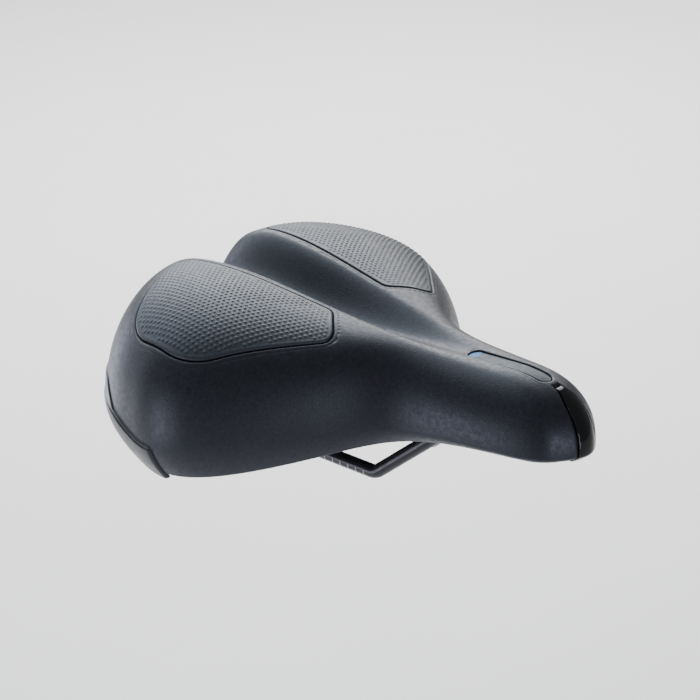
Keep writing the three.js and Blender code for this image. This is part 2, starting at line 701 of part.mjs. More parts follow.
// Rubber block with two waists, turned about the bolt.
function elastomerGeometry() {
  const low = CARRIER.top + GAP;
  const high = BOSS.bottom - GAP;
  const outline = [new THREE.Vector2(BOLT_HOLE, low)];
  const steps = 8;
  for (let k = 0; k <= steps; k += 1) {
    const wave = 1.2 * Math.sin(2 * Math.PI * k / steps) ** 2;
    outline.push(new THREE.Vector2(ELASTOMER.radius - wave, low + (high - low) * k / steps));
  }
  outline.push(new THREE.Vector2(BOLT_HOLE, high), outline[0].clone());
  return new THREE.LatheGeometry(outline, 16).rotateX(Math.PI / 2);
}

addPiece('cover', toGeometry(buildCover()), BLACK_SKIN);
addPiece('foam_pad', toGeometry(buildFoam()), FOAM_GREY);
addPiece('base_shell', toGeometry(buildBase()), SATIN_BLACK);
addPiece('rear_bumper', toGeometry(buildRearBumper()), SATIN_BLACK);
addPiece('nose_bumper', toGeometry(noseBumperPlate(0, NOSE_BUMPER.proud, -NOSE_BUMPER.depth)),
  GLOSS_BLACK);
addPiece('nose_inlay', toGeometry(inlaySolid(0, INLAY.top, INLAY.bottom)), BLUE_GREY);
addPiece('saddle_rail', toGeometry(toSolid(rodGeometry(railPath(4), ROD_RADIUS, 12))),
  PAINTED_STEEL);
addPiece('rear_carrier', toGeometry(buildCarrier()), SATIN_BLACK);
addPiece('nose_clamp_plate', toGeometry(buildClampPlate()), SATIN_BLACK);
for (const { name, x } of NOSE_SCREWS) {
  addPiece(name, toGeometry(screwSolid(x, 0, CLAMP_PLATE.bottom - GAP, SCREW.top)), ZINC_STEEL);
}
for (const [name, side] of SIDES) {
  const y = side * STACK.y;
  const panel = panelSolid(side, 0, 1, PANEL_PROUD, -PANEL_DEPTH);
  addPiece(`${name}_grip_panel`, toGeometry(panel), BLACK_PANEL);
  addPiece(`${name}_gel_pad`, toGeometry(panelSolid(side, 0, GEL.scale, GEL.top, GEL.bottom)),
    GEL_BLUE);
  addPiece(`${name}_elastomer`, toGeometry(toSolid(elastomerGeometry()).translate(STACK.x, y, 0)),
    RUBBER_GREY);
  const washerBottom = WASHER_TOP - WASHER.thickness;
  const washer = cut(postSolid(STACK.x, y, washerBottom, WASHER_TOP, WASHER.outer),
    postSolid(STACK.x, y, HOLE.low, HOLE.high, WASHER.inner));
  addPiece(`${name}_suspension_washer`, toGeometry(washer), ZINC_STEEL);
  const headTop = washerBottom - GAP;
  const bolt = join(postSolid(STACK.x, y, headTop - BOLT_HEAD.height, headTop, BOLT_HEAD.radius, 6),
    postSolid(STACK.x, y, headTop - 1, BOLT_TOP, BOLT_RADIUS));
  addPiece(`${name}_suspension_bolt`, toGeometry(bolt), ZINC_STEEL);
  const nut = cut(postSolid(STACK.x, y, NUT.bottom, BOLT_TOP, NUT.radius, 6),
    postSolid(STACK.x, y, HOLE.low, HOLE.high, BOLT_RADIUS + GAP));
  addPiece(`${name}_suspension_nut`, toGeometry(nut), ZINC_STEEL);
  const tabScrew = screwSolid(BUMPER_TAB.x, side * BUMPER_TAB.y, TAB.top - TAB.thickness - GAP,
    TAB_SCREW.top);
  addPiece(`${name}_bumper_screw`, toGeometry(tabScrew), ZINC_STEEL);
}

export default group;
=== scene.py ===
"""Bicycle saddle: the looks, in Blender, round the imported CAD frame. Metres.

The seat's skin is one formula: control values along X and round the rim, joined by cubic
B-splines. Every piece that lies on the skin is a fine grid of points of that formula.
"""
import math

import bpy
import numpy as np
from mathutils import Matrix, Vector


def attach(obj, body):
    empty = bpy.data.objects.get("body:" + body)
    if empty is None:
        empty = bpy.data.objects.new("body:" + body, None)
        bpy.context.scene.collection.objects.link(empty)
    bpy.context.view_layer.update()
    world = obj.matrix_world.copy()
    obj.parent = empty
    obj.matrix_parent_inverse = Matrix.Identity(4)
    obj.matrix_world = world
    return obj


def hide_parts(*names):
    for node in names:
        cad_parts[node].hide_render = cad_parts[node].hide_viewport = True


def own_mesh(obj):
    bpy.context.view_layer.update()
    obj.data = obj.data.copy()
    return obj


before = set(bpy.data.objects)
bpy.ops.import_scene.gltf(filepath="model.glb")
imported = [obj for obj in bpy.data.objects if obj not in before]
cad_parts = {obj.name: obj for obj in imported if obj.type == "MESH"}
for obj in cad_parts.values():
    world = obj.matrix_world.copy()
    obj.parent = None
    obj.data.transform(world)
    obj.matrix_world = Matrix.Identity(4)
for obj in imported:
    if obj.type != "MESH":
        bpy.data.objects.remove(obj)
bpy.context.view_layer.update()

MM = 0.001
SEAT = "seat"
RAIL_FRAME = "rail_frame"

# ---- Skin surface, in millimetres as in the CAD part ----

OUTLINE = np.array([
    (-97, 0), (-117, 17), (-113, 50), (-87, 90), (-56, 100), (-22, 109),
    (27, 59), (47, 30), (90, 29), (130, 24), (137, 14), (147, 0)], float)
TURNS = len(OUTLINE) - 1
STATION_START = -130
STATION_STEP = 40
CROWN = [77, 86.5, 87.5, 81, 74, 70.5, 70, 72]
CROWN_Y = [46, 50, 50, 42, 32, 24, 18, 14]
CROWN_DIP = [6.3, 6.3, 6.3, 6.3, 3.8, 1.3, 0, 0]
CHANNEL_DEPTH = [11, 16, 16, 12, 6, 2, 0, 0]
CHANNEL_RIM_Y = [31, 28, 22, 19.5, 16.5, 13, 12, 12]
CHANNEL_FOOT_Y = [11, 8.5, 4.5, 2, 0.5, 0.5, 1, 1]
WAIST = [29, 28, 27, 28, 32, 36, 38, 38]
HEM = [13.5, 5.6, 2.9, 6, 18.3, 30, 35, 34]
TUCK = [14, 10, 8, 7, 5, 4, 4, 5]
PADDING = [30, 32, 34, 32, 24, 16, 14, 14]
FULLNESS = [3.5, 3.6, 4.2, 3.5, 3.2, 2.4, 2.1, 2.4]
SPINE_SHARE = 0.637

COVER_THICKNESS = 2.8
HEM_WIDTH = 5.7
HEM_THICKNESS = 2.5
BASE_THICKNESS = 2.6
GAP = 0.3

# Grip panel outline in plan, left side: (x, y, rounding), and the gel pad as its share.
PANEL_CORNERS = [
    (-85, 29.5, 7.5), (6, 20.3, 3.5), (21.5, 38, 6), (-25, 91, 16), (-67.5, 85, 14), (-78, 64, 9),
    (-84.5, 43, 5.5)]
PANEL_CENTER = np.array([-36.0, 54.0])
GEL_SHARE = 0.8
GEL_TOP = -5.0
GEL_BOTTOM = -11.0

INLAY_REAR = 74
INLAY_FRONT = 120
INLAY_HALF_WIDTH = 4


def smoothstep(value, low, high):
    share = np.clip((value - low) / (high - low), 0, 1)
    return share * share * (3 - 2 * share)


def segment(a, b, c, d, f):
    """Cubic B-spline segment through four control values, at fraction f."""
    g = 1 - f
    return (g ** 3 * a + (3 * f ** 3 - 6 * f ** 2 + 4) * b
            + (3 * g ** 3 - 6 * g ** 2 + 4) * c + f ** 3 * d) / 6


def station(values, x):
    values = np.array([2 * values[0] - values[1], *values, 2 * values[-1] - values[-2]], float)
    last = len(values) - 3
    t = np.clip((np.asarray(x, float) - STATION_START) / STATION_STEP, 0, last)
    i = np.minimum(t.astype(int), last - 1)
    return segment(values[i], values[i + 1], values[i + 2], values[i + 3], t - i)


def rim_point(turn):
    mirror = np.array([1, -1])
    points = np.array([OUTLINE[1] * mirror, *OUTLINE, OUTLINE[-2] * mirror])
    turn = np.asarray(turn, float)
    i = np.clip(turn.astype(int), 0, TURNS - 1)
    f = (turn - i)[..., None]
    return segment(points[i], points[i + 1], points[i + 2], points[i + 3], f)


RIM_X = rim_point(np.arange(0, TURNS + 0.001, 0.05))[:, 0]
RIM_MIDDLE = (RIM_X.min() + RIM_X.max()) / 2
RIM_HALF = (RIM_X.max() - RIM_X.min()) / 2
TAIL_X = rim_point(np.array([0.0]))[0, 0]


def spine_x(rim_x):
    across = (np.maximum(rim_x, TAIL_X) - RIM_MIDDLE) / RIM_HALF
    return RIM_MIDDLE + SPINE_SHARE * RIM_HALF * np.sin(across * np.pi / 2)


class Layer:
    """The skin moved in by inset from the sides and by drop from the top. With padding 1
    it is the base under the padding, which has no channel."""

    def __init__(self, inset, drop, padding=0):
        self.inset = inset
        self.drop = drop
        self.padding = padding

    def top(self, x, y):
        side = np.abs(y)
        dip = np.maximum(0, 1 - side / station(CROWN_Y, x)) ** 2 * station(CROWN_DIP, x)
        rise = smoothstep(side, station(CHANNEL_FOOT_Y, x), station(CHANNEL_RIM_Y, x))
        channel = station(CHANNEL_DEPTH, x) * (1 - rise)
        padding = self.padding * station(PADDING, x)
        return station(CROWN, x) - self.drop - padding - (1 - self.padding) * (dip + channel)

    def point(self, turn, level):
        """Turn goes round from the tail by the left to the nose at TURNS and back; level is
        0 on the spine, 1 on the widest line and 2 at the hem."""
        turn = np.mod(turn, 2 * TURNS)
        left = turn <= TURNS
        rim = rim_point(np.where(left, turn, 2 * TURNS - turn))
        spine = spine_x(rim[..., 0])
        ray = np.stack([rim[..., 0] - spine, rim[..., 1]], -1)
        length = np.linalg.norm(ray, axis=-1)
        ray = ray / length[..., None]
        reach = length - self.inset
        waist = station(WAIST, rim[..., 0])
        share = np.sin(np.clip(level, 0, 1) * np.pi / 2)
        down = np.maximum(level - 1, 0)
        distance = np.where(level < 1, reach * share, reach - station(TUCK, rim[..., 0]) * down ** 2)
        x = spine + ray[..., 0] * distance
        y = ray[..., 1] * distance
        fall = np.sqrt(np.maximum(0, 1 - share ** station(FULLNESS, rim[..., 0])))
        dome = waist + (self.top(x, y) - waist) * fall
        skirt = waist - (waist - station(HEM, rim[..., 0])) * down
        z = np.where(level < 1, dome, skirt)
        return np.stack([x, np.where(left, y, -y), z], -1)

    def over(self, x, y):
        """The dome's point over a plan position; the ray through it is found by bisection."""
        side = np.abs(y)
        low = np.zeros_like(x, float)
        high = np.full_like(low, TURNS)
        for _ in range(34):
            turn = (low + high) / 2
            rim = rim_point(turn)
            spine = spine_x(rim[..., 0])
            ahead = (rim[..., 0] - spine) * side - rim[..., 1] * (x - spine) > 0
            high = np.where(ahead, turn, high)
            low = np.where(ahead, low, turn)
        rim = rim_point(low)
        spine = spine_x(rim[..., 0])
        reach = np.hypot(rim[..., 0] - spine, rim[..., 1]) - self.inset
        share = np.clip(np.hypot(x - spine, side) / reach, 0, 1)
        waist = station(WAIST, rim[..., 0])
        fall = np.sqrt(np.maximum(0, 1 - share ** station(FULLNESS, rim[..., 0])))
        return np.stack([x, y, waist + (self.top(x, side) - waist) * fall], -1)

    def normal(self, turn, level):
        step = 0.004
        around = self.point(turn + step, level) - self.point(turn - step, level)
        down = self.point(turn, level + step) - self.point(turn, level - step)
        return unit(np.cross(around, down))

    def normal_over(self, x, y):
        step = 0.3
        along_x = self.over(x + step, y) - self.over(x - step, y)
        along_y = self.over(x, y + step) - self.over(x, y - step)
        return unit(np.cross(along_x, along_y))


def unit(vectors):
    return vectors / np.maximum(np.linalg.norm(vectors, axis=-1, keepdims=True), 1e-9)


SKIN = Layer(0, 0)
COVER_IN = Layer(COVER_THICKNESS, COVER_THICKNESS)
FOAM_OUT = Layer(COVER_THICKNESS + 2 * GAP, COVER_THICKNESS + 2 * GAP)
BASE_SPACE = Layer(HEM_WIDTH, -GAP, 1)
BASE_OUT = Layer(HEM_WIDTH + GAP, 0, 1)
BASE_IN = Layer(HEM_WIDTH + GAP + BASE_THICKNESS, BASE_THICKNESS, 1)

# ---- Outlines of what is let into the skin ----


def rounded(corners, per_corner):
    """Closed outline with straight sides and quadratic curves at its corners."""
    spots = np.array([c[:2] for c in corners], float)
    points = []
    for k, (x, y, reach) in enumerate(corners):
        here = np.array([x, y], float)
        before = here + unit(spots[k - 1] - here) * reach
        after = here + unit(spots[(k + 1) % len(spots)] - here) * reach
        for f in np.linspace(0, 1, per_corner):
            points.append((1 - f) ** 2 * before + 2 * f * (1 - f) * here + f ** 2 * after)
    return np.array(points)


def evenly(outline, count):
    """The same closed outline as count points at even distances."""
    closed = np.vstack([outline, outline[:1]])
    steps = np.linalg.norm(np.diff(closed, axis=0), axis=1)
    along = np.concatenate([[0], np.cumsum(steps)])
    at = np.linspace(0, along[-1], count, endpoint=False)
    return np.stack([np.interp(at, along, closed[:, k]) for k in (0, 1)], -1)


def grown(outline, by):
    """Outline moved outwards by a distance, for an outline that runs anticlockwise."""
    ahead = unit(np.roll(outline, -1, 0) - np.roll(outline, 1, 0))
    return outline + np.stack([ahead[:, 1], -ahead[:, 0]], -1) * by


def distance_to(outline, x, y):
    """Distance from plan points to a closed outline, negative inside."""
    spot = np.stack([x.ravel(), y.ravel()], -1)
    best = np.full(len(spot), 1e9)
    inside = np.zeros(len(spot), bool)
    for a, b in zip(outline, np.roll(outline, -1, 0)):
        side = b - a
        share = np.clip((spot - a) @ side / (side @ side), 0, 1)
        best = np.minimum(best, np.linalg.norm(spot - a - share[:, None] * side, axis=1))
        crosses = (a[1] > spot[:, 1]) != (b[1] > spot[:, 1])
        rise = side[1] if side[1] else 1e-9
        inside ^= crosses & (spot[:, 0] < a[0] + (spot[:, 1] - a[1]) * side[0] / rise)
    return np.where(inside, -best, best).reshape(x.shape)


def stadium():
    """Outline of the nose strip: a long slot with round ends, anticlockwise."""
    rear = INLAY_REAR + INLAY_HALF_WIDTH
    front = INLAY_FRONT - INLAY_HALF_WIDTH
    angle = np.linspace(-np.pi / 2, np.pi / 2, 17)
    ahead = np.stack([front + INLAY_HALF_WIDTH * np.cos(angle), INLAY_HALF_WIDTH * np.sin(angle)], -1)
    back = np.stack([rear - INLAY_HALF_WIDTH * np.cos(angle), -INLAY_HALF_WIDTH * np.sin(angle)], -1)
    return np.vstack([ahead, back])


PANEL = evenly(rounded(PANEL_CORNERS, 12), 480)
INLAY = evenly(stadium(), 200)
GEL = PANEL_CENTER + (evenly(PANEL, 90) - PANEL_CENTER) * GEL_SHARE

# ---- Meshes ----


def mesh_object(name, points, faces, body, material, replaced=(), smooth=True):
    """A piece from points in millimetres. Rides on a body and stands for CAD nodes."""
    mesh = bpy.data.meshes.new(name)
    mesh.from_pydata((np.asarray(points) * MM).tolist(), [], faces)
    mesh.validate()
    mesh.update()
    if smooth:
        mesh.polygons.foreach_set("use_smooth", np.ones(len(mesh.polygons), bool))
    piece = bpy.data.objects.new(name, mesh)
    bpy.context.collection.objects.link(piece)
    mesh.materials.append(material)
    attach(piece, body)
    for node in replaced:
        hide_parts(node)
    return piece


class Builder:
    """Collects grids of points into one list of points and faces."""

    def __init__(self):
        self.points = []
        self.faces = []
        self.count = 0

    def add(self, points):
        points = np.asarray(points, float)
        first = self.count
        self.points.append(points.reshape(-1, 3))
        self.count += len(self.points[-1])
        return (first + np.arange(len(self.points[-1]))).reshape(points.shape[:-1])

    def quads(self, index, closed, flip=False):
        """Faces of a grid of point numbers, rows by columns; closed joins the last column."""
        after = np.roll(index, -1, 1)
        columns = index.shape[1] - (0 if closed else 1)
        for a, b, c, d in zip(index[:-1, :columns].ravel(), index[1:, :columns].ravel(),
                              after[1:, :columns].ravel(), after[:-1, :columns].ravel()):
            self.faces.append((d, c, b, a) if flip else (a, b, c, d))

    def all_points(self):
        return np.vstack(self.points)


def loft(builder, rings, flip=False, wrap=False, ends=True):
    """Closed body through rings of points: a tube, capped by fans at its ends."""
    index = builder.add(rings)
    if wrap:
        index = np.vstack([index, index[:1]])
    builder.quads(index, True, flip)
    if ends and not wrap:
        for ring, turned in ((index[0], not flip), (index[-1], flip)):
            face = tuple(int(k) for k in ring)
            builder.faces.append(face[::-1] if not turned else face)


def capped(builder, grid, side=1):
    """Closed body from rings that start at one middle point and end at another."""
    index = builder.add(grid[1:-1])
    builder.quads(index, True, side < 0)
    for ring, end, turned in ((index[0], grid[0], side > 0), (index[-1], grid[-1], side < 0)):
        tip = int(builder.add(end.mean(0)[None])[0])
        for a, b in zip(ring, np.roll(ring, -1)):
            builder.faces.append((int(b), int(a), tip) if not turned else (int(a), int(b), tip))


def shell(builder, outer, inner):
    """Closed shell over the seat between two grids of the same width (levels by turns).
    The spine's left and right points are one."""
    turns = outer.shape[1]
    fold = np.minimum(np.arange(turns), turns - np.arange(turns))
    sheets = []
    for grid, flip in ((outer, False), (inner, True)):
        index = builder.add(grid)
        index[0] = index[0][fold]
        after = np.roll(index, -1, 1)
        for row in range(len(index) - 1):
            for k in range(turns):
                corners = (index[row, k], index[row + 1, k], after[row + 1, k], after[row, k])
                corners = tuple(int(c) for c in dict.fromkeys(corners))
                if len(corners) > 2:
                    builder.faces.append(corners[::-1] if flip else corners)
        sheets.append(index[-1])
    outer_edge, inner_edge = sheets
    for k in range(turns):
        n = (k + 1) % turns
        corners = (outer_edge[k], inner_edge[k], inner_edge[n], outer_edge[n])
        builder.faces.append(tuple(int(c) for c in corners))


def plate(builder, top, bottom, flip=False):
    """Closed body between two open grids of the same shape."""
    upper = builder.add(top)
    lower = builder.add(bottom)
    builder.quads(upper, False, flip)
    builder.quads(lower, False, not flip)

    def edge(index_top, index_bottom, turned):
        for k in range(len(index_top) - 1):
            corners = (index_top[k], index_bottom[k], index_bottom[k + 1], index_top[k + 1])
            corners = tuple(int(c) for c in corners)
            builder.faces.append(corners[::-1] if turned else corners)

    edge(upper[-1], lower[-1], flip)
    edge(upper[0], lower[0], not flip)
    edge(upper[:, 0], lower[:, 0], flip)
    edge(upper[:, -1], lower[:, -1], not flip)


def extrude_y(builder, outline, low, high):
    """Outline in (x, z), anticlockwise, made into a body from y = low to y = high."""
    ring = lambda y: np.array([(x, y, z) for x, z in outline])
    loft(builder, np.array([ring(low), ring(high)]), flip=True)


def turned_body(builder, profile, x, y, sides=48):
    """Profile of (radius, z) points that closes on itself, turned about an upright axis."""
    angle = np.linspace(0, 2 * np.pi, sides, endpoint=False)
    rings = [np.stack([x + r * np.cos(angle), y + r * np.sin(angle), np.full(sides, z)], -1)
             for r, z in profile]
    loft(builder, np.array(rings), wrap=True, flip=True)


# ---- Materials ----


class Shader:
    """A node material with a Principled surface, and short calls for its textures."""

    def __init__(self, name, **values):
        self.material = bpy.data.materials.new(name)
        self.material.use_nodes = True
        self.tree = self.material.node_tree
        self.surface = self.tree.nodes["Principled BSDF"]
        self.place = self.node("ShaderNodeTexCoord").outputs["Object"]
        for socket, value in values.items():
            self.surface.inputs[socket.replace("_", " ")].default_value = value

    def node(self, kind, links=(), **settings):
        made = self.tree.nodes.new(kind)
        for key, value in settings.items():
            if key in made.inputs:
                made.inputs[key].default_value = value
            else:
                setattr(made, key, value)
        for socket, source in links:
            self.tree.links.new(source, made.inputs[socket])
        return made

    def noise(self, scale, detail=3.0, roughness=0.5):
        return self.node("ShaderNodeTexNoise", [("Vector", self.place)], Scale=scale, Detail=detail,
                         Roughness=roughness).outputs["Fac"]

    def cells(self, scale):
        return self.node("ShaderNodeTexVoronoi", [("Vector", self.place)],
                         Scale=scale, feature="SMOOTH_F1").outputs["Distance"]

    def ramp(self, source, low, high, start=0.0, end=1.0):
        made = self.node("ShaderNodeMapRange", [("Value", source)])
        for socket, value in (("From Min", start), ("From Max", end), ("To Min", low), ("To Max", high)):
            made.inputs[socket].default_value = value
        return made.outputs["Result"]

    def colour(self, source, dark, light):
        made = self.node("ShaderNodeMix", data_type="RGBA")
        made.inputs[0].default_value = 0.5
        self.tree.links.new(source, made.inputs[0])
        made.inputs[6].default_value = (*dark, 1)
        made.inputs[7].default_value = (*light, 1)
        self.tree.links.new(made.outputs[2], self.surface.inputs["Base Color"])
        return made.outputs[2]

    def roughness(self, source, low, high):
        self.tree.links.new(self.ramp(source, low, high, 0.3, 0.7), self.surface.inputs["Roughness"])

    def bump(self, layers):
        """Each layer is (height source, strength, depth in metres)."""
        normal = None
        for source, strength, depth in layers:
            made = self.node("ShaderNodeBump", [("Height", source)], Strength=strength, Distance=depth)
            if normal:
                self.tree.links.new(normal, made.inputs["Normal"])
            normal = made.outputs["Normal"]
        self.tree.links.new(normal, self.surface.inputs["Normal"])
        return self


def skin_material(name, dark, light, rough_low, rough_high, grain):
    shader = Shader(name, Specular_IOR_Level=0.45, Specular_Tint=(0.84, 0.89, 1, 1),
                    Sheen_Weight=0.02, Sheen_Roughness=0.4)
    mottle = shader.noise(700, 3)
    shader.colour(shader.ramp(mottle, 0, 1, 0.3, 0.7), dark, light)
    shader.roughness(shader.noise(420, 3), rough_low, rough_high)
    shader.bump([(shader.cells(grain), 0.5, 0.0001), (shader.noise(grain * 1.7, 2), 0.3, 0.00006)])
    return shader.material


def plastic_material(name, dark, light, rough_low, rough_high, texture=1500.0, strength=0.25):
    shader = Shader(name)
    shader.colour(shader.noise(45, 3), dark, light)
    shader.roughness(shader.noise(300, 3), rough_low, rough_high)
    shader.bump([(shader.noise(texture, 2), strength, 0.00005)])
    return shader.material


def steel_material():
    shader = Shader("zinc_steel_look", Metallic=1.0)
    shader.colour(shader.noise(120, 4), (0.42, 0.43, 0.45), (0.62, 0.62, 0.62))
    shader.roughness(shader.noise(400, 3), 0.25, 0.42)
    shader.bump([(shader.noise(2200, 2), 0.2, 0.00003)])
    return shader.material


def inlay_material():
    """Satin blue-grey, with a plain blue rounded end at the rear of the strip."""
    shader = Shader("inlay_look", Specular_IOR_Level=0.3, Specular_Tint=(0.7, 0.88, 1, 1))
    split = shader.node("ShaderNodeSeparateXYZ", [("Vector", shader.place)]).outputs["X"]
    share = shader.ramp(split, 1, 0, (INLAY_REAR + 4.4) * MM, (INLAY_REAR + 4.6) * MM)
    shader.colour(share, (0.012, 0.019, 0.028), (0.006, 0.17, 0.42))
    shader.roughness(shader.noise(300, 3), 0.4, 0.5)
    shader.bump([(shader.noise(1800, 2), 0.2, 0.00004)])
    return shader.material


def foam_material():
    shader = Shader("foam_look", Roughness=0.95)
    shader.colour(shader.noise(200, 4), (0.2, 0.19, 0.16), (0.36, 0.34, 0.3))
    shader.bump([(shader.cells(700), 0.7, 0.0004)])
    return shader.material


def gel_material():
    shader = Shader("gel_look", Coat_Weight=0.3)
    shader.colour(shader.noise(60, 2), (0.05, 0.16, 0.25), (0.1, 0.27, 0.38))
    shader.roughness(shader.noise(100, 2), 0.2, 0.35)
    shader.bump([(shader.noise(160, 2), 0.3, 0.0002)])
    return shader.material


COVER_LOOK = skin_material("cover_look", (0.009, 0.0095, 0.0125), (0.017, 0.018, 0.023),
                           0.38, 0.52, 1300)
PANEL_LOOK = skin_material("grip_look", (0.024, 0.028, 0.034), (0.036, 0.041, 0.049), 0.4, 0.5, 1700)
BASE_LOOK = plastic_material("base_look", (0.011, 0.011, 0.012), (0.02, 0.02, 0.022), 0.38, 0.55)
GUARD_LOOK = plastic_material("guard_look", (0.016, 0.018, 0.021), (0.027, 0.029, 0.033), 0.3, 0.42)
GLOSS_LOOK = plastic_material("gloss_look", (0.003, 0.003, 0.0035), (0.006, 0.006, 0.007),
                              0.06, 0.12, 500, 0.05)
RAIL_LOOK = plastic_material("rail_look", (0.012, 0.013, 0.014), (0.022, 0.023, 0.025),
                             0.26, 0.38, 1100, 0.35)
MARK_LOOK = plastic_material("mark_look", (0.3, 0.3, 0.3), (0.42, 0.42, 0.41), 0.45, 0.6)
RUBBER_LOOK = plastic_material("rubber_look", (0.03, 0.03, 0.032), (0.05, 0.05, 0.053),
                               0.6, 0.8, 900, 0.5)
STEEL_LOOK = steel_material()
INLAY_LOOK = inlay_material()
FOAM_LOOK = foam_material()
GEL_LOOK = gel_material()

# ---- Cover ----

RAYS = 528
TURN = np.arange(RAYS) * 2 * TURNS / RAYS
OUTER_EDGE_LEVEL = 1.97
INNER_EDGE_LEVEL = 1.88

# Nose insert: its levels, and its half width in turns.
NOSE_TOP_LEVEL = 0.4
NOSE_LOW_LEVEL = 1.97
NOSE_TOP_WIDTH = 0.24
NOSE_SHOULDER = 0.18
NOSE_SHOULDER_END = 0.12
NOSE_SPREAD = 0.13

# How far the skin is let down under each piece, and where the step begins and ends.
PANEL_SINK = 2.0
PANEL_SINK_EDGE = (0.9, 1.9)
INLAY_SINK = 2.3
INLAY_SINK_EDGE = (0.5, 1.4)
NOSE_SINK = 1.2
NOSE_SINK_EDGE = (0.005, 0.075)
TURNS_PER_LEVEL = 2.2


def nose_half_width(level):
    """Half width of the glossy nose insert, in turns."""
    share = (level - NOSE_TOP_LEVEL) / (NOSE_LOW_LEVEL - NOSE_TOP_LEVEL)
    shoulder = NOSE_SHOULDER * smoothstep(share, 0, NOSE_SHOULDER_END)
    return NOSE_TOP_WIDTH + shoulder + NOSE_SPREAD * share


def plan_distance(outline, points):
    """Distance from each point to an outline on its side of the seat, far off below the rim."""
    return distance_to(outline, points[..., 0], np.abs(points[..., 1]))


def step_down(depth, distance, edge):
    return depth * (1 - smoothstep(distance, *edge))


def sunk_skin(turn, level, points, normals):
    """The outer skin, let down under the panels, the strip and the nose insert."""
    dome = level <= 1
    from_panel = plan_distance(evenly(PANEL, 110), points)
    from_inlay = plan_distance(evenly(INLAY, 80), points)
    down = step_down(PANEL_SINK, from_panel, PANEL_SINK_EDGE) * dome
    down += step_down(INLAY_SINK, from_inlay, INLAY_SINK_EDGE) * dome
    from_nose = np.abs(turn - TURNS) - nose_half_width(np.maximum(level, NOSE_TOP_LEVEL))
    over_top = (NOSE_TOP_LEVEL - level) * TURNS_PER_LEVEL
    down += step_down(NOSE_SINK, np.maximum(from_nose, over_top), NOSE_SINK_EDGE)
    return points - normals * down[..., None]


def hem_rings(turn):
    """The rolled edge, from the outer wall round to the inside of the hem."""
    reach = np.array([0.15, 0.5, 1.0, 1.6, 3.0, 4.6, 5.3, HEM_WIDTH])[:, None]
    lift = np.array([-0.35, -0.75, -1.0, -1.1, -1.1, -0.95, -0.6, 0.0])[:, None]
    rings = Layer(reach, 0).point(turn[None] + 0 * reach, np.full((8, RAYS), 2.0))
    rings[..., 2] += 1.1 + lift
    return rings


def make_cover():
    builder = Builder()
    levels = np.concatenate([np.linspace(0, 1, 112), np.linspace(1, OUTER_EDGE_LEVEL, 30)[1:]])
    turn, level = np.broadcast_arrays(TURN[None], levels[:, None])
    points = SKIN.point(turn, level)
    normals = SKIN.normal(turn, np.clip(level, 0.02, 1.96))
    points = sunk_skin(turn, level, points, normals)
    points[0, :, 1] = 0
    outer = np.vstack([points, hem_rings(TURN)])
    inner_levels = np.concatenate([np.linspace(0, 1, 26), np.linspace(1, INNER_EDGE_LEVEL, 7)[1:]])
    inner = COVER_IN.point(*np.broadcast_arrays(TURN[None], inner_levels[:, None]))
    lip = Layer(HEM_WIDTH, 0).point(TURN, np.full(RAYS, 2.0))
    lip[:, 2] += HEM_THICKNESS
    inner = np.vstack([inner, lip[None]])
    shell(builder, outer, inner)
    for side in (1, -1):
        seam(builder, PANEL, side, PANEL_SEAM)
    seam(builder, INLAY, 1, INLAY_SEAM)
    cover = mesh_object("seat_cover", builder.all_points(), builder.faces, SEAT,
                        COVER_LOOK, ["cover"])


# Profile of the groove round a let-in piece: distance out from it, and height over the skin.
PANEL_SEAM = [
    (3.2, -0.35), (2.7, -0.06), (2.3, 0.02), (1.8, 0.035), (1.3, 0.03), (1.05, 0.0),
    (0.85, -0.14), (0.65, -0.42), (0.5, -0.85), (0.4, -1.3), (-0.5, -1.35), (-0.5, -1.7),
    (0.9, -1.7)]
INLAY_SEAM = [
    (2.6, -0.35), (2.1, -0.06), (1.7, 0.02), (1.3, 0.035), (0.9, 0.02), (0.7, -0.04),
    (0.45, -0.2), (0.3, -0.5), (0.22, -1.1), (0.15, -1.5), (-0.4, -1.55), (-0.4, -1.9),
    (0.6, -1.9)]


def seam(builder, outline, side, profile):
    rings = []
    for out, height in profile:
        plan = grown(outline, out)
        x, y = plan[:, 0], side * plan[:, 1]
        rings.append(SKIN.over(x, y) + SKIN.normal_over(x, y) * height)
    loft(builder, np.array(rings), wrap=True, flip=side > 0)


# ---- What is let into the cover ----

DOT_PITCH = 2.6
DOT_RADIUS = 0.85
DOT_HEIGHT = 0.34
DOT_MARGIN = 2.2
PANEL_PROUD = 0.12
PANEL_RIM = 0.1
PANEL_ROUNDING = 0.55
PANEL_UNDERSIDE = -1.2
PANEL_RIM_SHARE = 0.955


def dot_lattice(x, y):
    """Nearest point of a staggered lattice, and the distance to it."""
    row_step = DOT_PITCH * math.sqrt(3) / 2
    best = np.full(x.shape, 1e9)
    near = np.zeros(x.shape + (2,))
    for shift in (0, 1):
        row = np.round((y / row_step - shift) / 2) * 2 + shift
        center_y = row * row_step
        center_x = (np.round(x / DOT_PITCH - 0.5 * shift) + 0.5 * shift) * DOT_PITCH
        gap = np.hypot(x - center_x, y - center_y)
        closer = gap < best
        best = np.where(closer, gap, best)
        near[closer] = np.stack([center_x, center_y], -1)[closer]
    return near, best


def panel_height(x, y):
    """Height of the grip panel over the skin: dots inside a smooth rim."""
    outline = evenly(PANEL, 140)
    edge = -distance_to(outline, x, y)
    near, gap = dot_lattice(x, y)
    whole = -distance_to(outline, near[..., 0], near[..., 1]) > DOT_MARGIN
    dots = DOT_HEIGHT * (1 - smoothstep(gap, 0.15, DOT_RADIUS)) * whole
    rim = PANEL_RIM * smoothstep(edge, 0.2, 0.7) * (1 - smoothstep(edge, 1.2, 2.0))
    rounding = -PANEL_ROUNDING * (1 - smoothstep(edge, -0.1, 0.55)) ** 2
    return PANEL_PROUD + dots + rim + rounding


